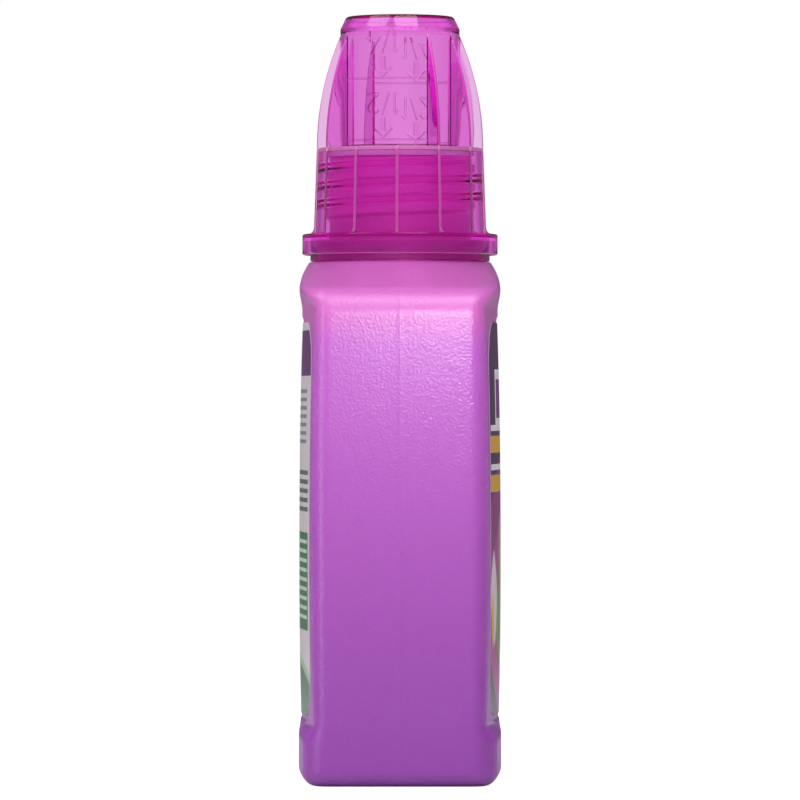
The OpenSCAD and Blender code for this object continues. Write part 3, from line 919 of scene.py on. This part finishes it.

# %% [markdown]
# ## Clear polypropylene of the cap
#
# Clarified polypropylene, tinted magenta and moulded against polished steel. Apart from the painted
# edges and cuff, its colour comes from the depth of plastic that the light has crossed: one fin is
# lilac, two walls are pink, and a fin seen end on is deep magenta. So the polished surface has no
# colour, and the volume absorbs. The outer edges of ribs, fins, ledge and flange are rougher and
# partly opaque in pale pink, a painted highlight for the light their rounded edges catch, and the
# cuff below them is given a deeper colour, which is painted shade under the flange.

# %% Cap material
POLYPROPYLENE_IOR = 1.49
POLISHED, FROSTED = 0.03, 0.4
# Sizes of the edge zones that carry a painted pale highlight and of the cuff zone that carries painted
# shade, then how much of each.
RIB_EDGE, FIN_EDGE, LEDGE_EDGE, FLANGE_EDGE, FIN_ROOT = 0.4, 0.15, 1.3, 0.3, 0.3
EDGE_IN, CLEAR_OF, CUFF_CLEAR_OF = 0.5, 0.05, 0.02
CUFF_SKIN_IN, CUFF_SKIN_HALF = 0.15, 0.25
NOSE_HIGHLIGHT_HAZE, RIM_HIGHLIGHT_HAZE, CUFF_SHADE_HAZE = 0.22, 0.5, 0.4
ABSORB_PER_M = 540.0
ABSORB_COLOUR = (0.935, 0.02, 0.87, 1.0)


def edge_masks(tree):
    """Masks that are 1 on the edges of the ribs and fins and of the ledge and flange, where a highlight is
    painted, and on the cuff, where shade is painted.
    """
    where = add(tree, "ShaderNodeSeparateXYZ", {0: add(tree, "ShaderNodeTexCoord").outputs["Object"]})
    x, y, z = (where.outputs[k] for k in range(3))
    radius = maths(tree, "SQRT", maths(tree, "ADD", squared(tree, x), squared(tree, y)))
    up = maths(tree, "SUBTRACT", z, LEDGE_TOP * MM)
    bell = maths(tree, "SQRT", maths(tree, "SUBTRACT", (FIN_CURVE * MM) ** 2, squared(tree, up)))
    fin = maths(tree, "ADD", bell, (FIN_R - FIN_CURVE - FIN_EDGE) * MM)
    draft = maths(tree, "MULTIPLY", up, -SKIRT_DRAFT / SKIRT_H)
    rib = maths(tree, "ADD", draft, (FIN_R - RIB_EDGE) * MM)
    above = maths(tree, "GREATER_THAN", up, 0.0)
    limit = add(tree, "ShaderNodeMix", {"Factor": above, 2: rib, 3: fin}).outputs[0]
    limit = maths(tree, "MAXIMUM", limit, (CUP_R + FIN_ROOT) * MM)
    nose = maths(tree, "GREATER_THAN", radius, limit)
    nose = maths(tree, "MULTIPLY", nose, maths(tree, "GREATER_THAN", z, (FLANGE_TOP + CLEAR_OF) * MM))
    ledge = maths(tree, "COMPARE", z, (LEDGE_TOP - LEDGE_EDGE / 2) * MM, LEDGE_EDGE / 2 * MM)
    ledge = maths(tree, "MULTIPLY", ledge, maths(tree, "GREATER_THAN", radius, (SKIRT_OUT - EDGE_IN) * MM))
    lip = maths(tree, "COMPARE", z, FLANGE_BOTTOM * MM, FLANGE_EDGE * MM)
    lip = maths(tree, "MULTIPLY", lip, maths(tree, "GREATER_THAN", radius, (FLANGE_R - EDGE_IN) * MM))
    # The cuff under the flange, where shade is painted.
    cuff = maths(tree, "COMPARE", radius, (CUFF_R - CUFF_SKIN_IN) * MM, CUFF_SKIN_HALF * MM)
    below = maths(tree, "LESS_THAN", z, (FLANGE_BOTTOM - CUFF_CLEAR_OF) * MM)
    return nose, maths(tree, "MAXIMUM", ledge, lip), maths(tree, "MULTIPLY", cuff, below)


def clear_polypropylene():
    """Polished clear plastic whose tint deepens with its thickness, rough with a painted pale highlight on
    its outer edges, and with painted shade on the cuff.
    """
    made, tree = new_material("clear_tinted_polypropylene")
    nose, rim, cuff = edge_masks(tree)
    # Rough outer edges of ribs, fins, ledge and flange, with a painted pale highlight.
    rough_and_highlit = maths(tree, "MAXIMUM", nose, rim)
    gloss = add(tree, "ShaderNodeMix", {"Factor": rough_and_highlit, 2: POLISHED, 3: FROSTED}).outputs[0]
    # Less transmission where the edges' highlight and the cuff's shade are painted.
    highlight_and_shade_haze = maths(tree, "MULTIPLY", nose, NOSE_HIGHLIGHT_HAZE)
    for mask, share in ((rim, RIM_HIGHLIGHT_HAZE), (cuff, CUFF_SHADE_HAZE)):
        highlight_and_shade_haze = maths(tree, "ADD", highlight_and_shade_haze, maths(tree, "MULTIPLY", mask, share))
    # Pale pink on the edges is a painted highlight, and deep magenta on the cuff is painted shade.
    colour = blended(tree, cuff, blended(tree, rough_and_highlit, "#ffffff", "#ff9ae8"), "#c81ea8")
    glassy = add(tree, "ShaderNodeBsdfPrincipled", {
        "Base Color": colour, "Roughness": gloss, "IOR": POLYPROPYLENE_IOR,
        "Transmission Weight": maths(tree, "SUBTRACT", 1.0, highlight_and_shade_haze),
    })
    tint = add(tree, "ShaderNodeVolumeAbsorption", {
        "Color": ABSORB_COLOUR, "Density": ABSORB_PER_M,
    })
    finish_with(tree, glassy.outputs["BSDF"], tint.outputs["Volume"])
    return made


cap.data.materials.append(clear_polypropylene())
print("cap material ready")

# %% Plain materials
def plain(name, colour, roughness):
    """A simple finish with a fine unevenness in its gloss."""
    made, tree = new_material(name)
    where = add(tree, "ShaderNodeTexCoord")
    uneven = add(tree, "ShaderNodeTexNoise", {"Vector": where.outputs["Object"], "Scale": 900.0})
    bump = add(tree, "ShaderNodeBump", {
        "Height": uneven.outputs["Fac"], "Strength": 0.2, "Distance": 0.03 * MM,
    })
    skin = add(tree, "ShaderNodeBsdfPrincipled", {
        "Base Color": linear(colour), "Roughness": roughness, "Normal": bump.outputs["Normal"],
    })
    finish_with(tree, skin.outputs["BSDF"])
    return made


seal.data.materials.append(plain("closed_cell_foam", "#f6e6f2", 0.7))
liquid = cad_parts["liquid"]
liquid.data.materials.clear()
liquid.data.materials.append(plain("purple_feed", "#5a1478", 0.1))
print("plain materials ready")

# %% [markdown]
# ## The labels' print
#
# The print is drawn with numbers only: ovals, blocks and rows of bars laid over one another as
# masks, each placed in millimetres on the film. It is a plain design of our own: a leaf spray on
# deep violet in front, and a pale panel with rows and a green foot behind.

# %% Print shapes
def placed(tree, centre, half_size, turn=0.0):
    """Coordinates that run from -1 to 1 over a shape's half size, across and up the film."""
    where = add(tree, "ShaderNodeTexCoord").outputs["Object"]
    (x, z), (half_w, half_h) = centre, half_size
    laid = add(tree, "ShaderNodeMapping", {
        "Vector": where, "Location": (x * MM, 0, z * MM), "Rotation": (0, math.radians(turn), 0),
        "Scale": (half_w * MM, MM, half_h * MM),
    }, vector_type="TEXTURE")
    parts = add(tree, "ShaderNodeSeparateXYZ", {0: laid.outputs[0]})
    return parts.outputs["X"], parts.outputs["Z"]


def oval(tree, centre, half_size):
    """A mask that is 1 inside an ellipse."""
    x, z = placed(tree, centre, half_size)
    far = maths(tree, "ADD", squared(tree, x), squared(tree, z))
    return maths(tree, "LESS_THAN", far, 1.0)


def leaf(tree, centre, half_size, turn):
    """A mask that is 1 inside a leaf with two pointed ends."""
    x, z = placed(tree, centre, half_size, turn)
    far = maths(tree, "ADD", maths(tree, "ABSOLUTE", x), squared(tree, z))
    return maths(tree, "LESS_THAN", far, 1.0)


def block(tree, centre, half_size):
    """A mask that is 1 inside an oblong."""
    x, z = placed(tree, centre, half_size)
    far = maths(tree, "MAXIMUM", maths(tree, "ABSOLUTE", x), maths(tree, "ABSOLUTE", z))
    return maths(tree, "LESS_THAN", far, 1.0)


def bars(tree, centre, half_size, count, filled):
    """A mask of evenly spaced level bars inside an oblong."""
    height = placed(tree, centre, half_size)[1]
    along = maths(tree, "MULTIPLY", height, count / 2)
    on = maths(tree, "LESS_THAN", maths(tree, "FRACT", along), filled)
    return maths(tree, "MULTIPLY", on, block(tree, centre, half_size))


def paint(tree, ground, mask, colour):
    """Lays a colour over the ground wherever the mask is 1."""
    return blended(tree, mask, ground, colour)


print("print shapes ready")

# %% Front and back print
LEAF_HALF = (7, 22)
LEAVES = (
    (-30, 52, -38, "#6fa03c"), (-17, 62, -16, "#88b84a"), (0, 66, 0, "#a8cf66"),
    (17, 62, 16, "#88b84a"), (30, 52, 38, "#6fa03c"),
)


def front_print(tree):
    """Deep violet with a magenta swell, yellow bars and a spray of leaves."""
    height = placed(tree, (0, 20), (1, 120))[1]
    ground = blended(tree, height, "#3c1046", "#4d1a5c")
    ground = paint(tree, ground, oval(tree, (6, 62), (66, 40)), "#93207c")
    ground = paint(tree, ground, oval(tree, (10, 52), (62, 34)), "#b03596")
    for x, z, turn, colour in LEAVES:
        ground = paint(tree, ground, leaf(tree, (x, z), LEAF_HALF, turn), colour)
    ground = paint(tree, ground, leaf(tree, (-40, 57), (8, 15), -8), "#e6cfe0")
    ground = paint(tree, ground, leaf(tree, (-43, 50), (3, 9), -8), "#e2b23c")
    ground = paint(tree, ground, oval(tree, (0, 38), (15, 11)), "#e6cfe0")
    ground = paint(tree, ground, oval(tree, (0, 38), (9, 6.5)), "#e2a92c")
    ground = paint(tree, ground, block(tree, (0, 118), (34, 9)), "#f1e9f0")
    ground = paint(tree, ground, block(tree, (0, 118), (31, 6)), "#7b1f86")
    for z in (104, 92):
        ground = paint(tree, ground, block(tree, (-22, z), (26, 2.6)), "#e0a81e")
        ground = paint(tree, ground, block(tree, (-28, z + 5), (19, 0.9)), "#f1e9f0")
    return ground


def back_print(tree):
    """A pale panel with a violet head, grey rows, a ruled green block and a green foot."""
    ground = paint(tree, linear("#e3dae1"), block(tree, (0, 132), (60, 7)), "#6a2d77")
    ground = paint(tree, ground, bars(tree, (0, 112), (40, 9), 7, 0.45), "#8f8c98")
    ground = paint(tree, ground, bars(tree, (-27, 89), (18, 7), 5, 0.5), "#5c6f6a")
    ground = paint(tree, ground, bars(tree, (22, 89), (20, 7), 5, 0.5), "#8f8c98")
    ground = paint(tree, ground, block(tree, (-28, 62), (17, 15)), "#3c7d55")
    ground = paint(tree, ground, bars(tree, (-28, 62), (15, 13), 9, 0.4), "#d5e3d4")
    ground = paint(tree, ground, bars(tree, (20, 62), (22, 13), 9, 0.3), "#a9a3b0")
    ground = paint(tree, ground, oval(tree, (0, -4), (92, 44)), "#a9c9a4")
    return paint(tree, ground, oval(tree, (0, -6), (92, 43)), "#2f6b4a")


def printed_film(name, design):
    """Glossy printed film."""
    made, tree = new_material(name)
    skin = add(tree, "ShaderNodeBsdfPrincipled", {
        "Base Color": design(tree), "Roughness": 0.28, "IOR": 1.5,
    })
    finish_with(tree, skin.outputs["BSDF"])
    return made


film_edge = plain("film_edge", "#efe6ee", 0.4)
prints = ((front_film, "front_print", front_print), (back_film, "back_print", back_print))
for film, name, design in prints:
    film.data.materials.append(printed_film(name, design))
    film.data.materials.append(film_edge)
    for face in list(film.data.polygons)[-film["rim_faces"]:]:
        face.material_index = 1
print("printed films ready")

# %% [markdown]
# ## Floor, backdrop and light
#
# The photograph is a cut-out on white. A white floor and world fill the background, and the floor
# keeps a soft shadow. Two boxes hang high in front, a wide one further off lights the narrow face
# evenly, and one behind on each side lights the labels. A small box and a strip give the waxy body
# its soft gloss. They light the bottle alone, so they don't mirror in the clear cap.

# %% Stage
WORLD_FILL, WORLD_GLOSS, WORLD_THROUGH, WORLD_ASIDE = 0.22, 0.12, 0.84, 0.46
ASIDE_TO, STRAIGHT_FROM = 0.9, 0.985
FLOOR_GLOW, FLOOR_HALF = 0.85, 6000


def white_world():
    """White to the camera, dimmer through the clear cap and most so at a slant, with a plain fill."""
    world = bpy.data.worlds.new("studio")
    bpy.context.scene.world = world
    world.use_nodes = True
    tree = world.node_tree
    tree.nodes.clear()
    path = add(tree, "ShaderNodeLightPath")
    way = add(tree, "ShaderNodeSeparateXYZ", {0: add(tree, "ShaderNodeTexCoord").outputs["Generated"]})
    through = add(tree, "ShaderNodeMapRange", {
        "Value": maths(tree, "ABSOLUTE", way.outputs["X"]), "From Min": ASIDE_TO, "From Max": STRAIGHT_FROM,
        "To Min": WORLD_ASIDE, "To Max": WORLD_THROUGH,
    }, interpolation_type="SMOOTHSTEP").outputs["Result"]
    strength = WORLD_FILL
    for ray, value in (("Glossy", WORLD_GLOSS), ("Transmission", through), ("Camera", 1.0)):
        strength = add(tree, "ShaderNodeMix", {
            "Factor": path.outputs[f"Is {ray} Ray"], 2: strength, 3: value,
        }).outputs[0]
    shown = add(tree, "ShaderNodeBackground", {"Color": linear("#ffffff"), "Strength": strength})
    add(tree, "ShaderNodeOutputWorld", {"Surface": shown.outputs[0]})


def floor_material():
    """A pale floor that reads white to the camera, with the object's shadow kept."""
    made, tree = new_material("pale_floor")
    path = add(tree, "ShaderNodeLightPath")
    matt = add(tree, "ShaderNodeBsdfDiffuse", {"Color": linear("#d8d8d8")})
    seen = maths(tree, "MAXIMUM", path.outputs["Is Camera Ray"], path.outputs["Is Transmission Ray"])
    glow = maths(tree, "MULTIPLY", seen, FLOOR_GLOW)
    lift = add(tree, "ShaderNodeEmission", {"Color": linear("#ffffff"), "Strength": glow})
    both = add(tree, "ShaderNodeAddShader", {0: matt.outputs[0], 1: lift.outputs[0]})
    finish_with(tree, both.outputs[0])
    return made


white_world()
ends = ((-1, -1), (1, -1), (1, 1), (-1, 1))
floor = new_object("floor", [(x * FLOOR_HALF, y * FLOOR_HALF, 0) for x, y in ends], [(0, 1, 2, 3)])
floor.data.materials.append(floor_material())
print("stage ready")


# %% Lamps
AIM_Z = 0.12
BOUNCES, GLOSSY_BOUNCES = 28, 16


def softbox(name, place, size, watts):
    """A square lamp aimed at the middle of the bottle."""
    data = bpy.data.lights.new(name, "AREA")
    data.energy, data.size, data.shape = watts, size, "SQUARE"
    lamp = bpy.data.objects.new(name, data)
    lamp.location = place
    aim = lamp.location.copy()
    aim.z -= AIM_Z
    lamp.rotation_euler = aim.to_track_quat("Z", "Y").to_euler()
    bpy.context.scene.collection.objects.link(lamp)
    return lamp


def stand_level(lamp, turn, tall=None):
    """Stands a lamp upright at a turn in degrees, drawn out to a strip if it has a height."""
    lamp.rotation_euler = (math.radians(90), 0, math.radians(turn))
    if tall:
        lamp.data.shape, lamp.data.size_y = "RECTANGLE", tall


def hide_shine(lamp):
    """Keeps a lamp out of reflections and out of what is seen through the clear cap."""
    lamp.visible_glossy, lamp.visible_transmission = False, False


softbox("key_box", (-0.33, -0.1, 0.62), 0.34, 1.4)
softbox("left_box", (-0.17, 0.29, 0.62), 0.3, 0.8)
hide_shine(softbox("front_box", (-1.2, 0.12, 0.4), 0.5, 4.7))
near = softbox("near_box", (-0.2, -0.02, 0.168), 0.04, 0.1)
stand_level(near, -90)
edge = softbox("edge_box", (-0.35, 0.45, 0.15), 0.12, 0.45)
stand_level(edge, -142, 0.4)
only_bottle = bpy.data.collections.new("lit_by_the_gloss_boxes")
only_bottle.objects.link(bottle)
for lamp in (near, edge):
    lamp.light_linking.receiver_collection = only_bottle
for side in (1, -1):
    rim = softbox("rim_box", (0.45, 0.5 * side, 0.17), 0.3, 2.4)
    stand_level(rim, 90 + 48 * side)
    hide_shine(rim)
scene = bpy.context.scene
scene.view_settings.view_transform = "Standard"
scene.cycles.max_bounces = scene.cycles.transmission_bounces = BOUNCES
scene.cycles.glossy_bounces = GLOSSY_BOUNCES
print("lamps ready")
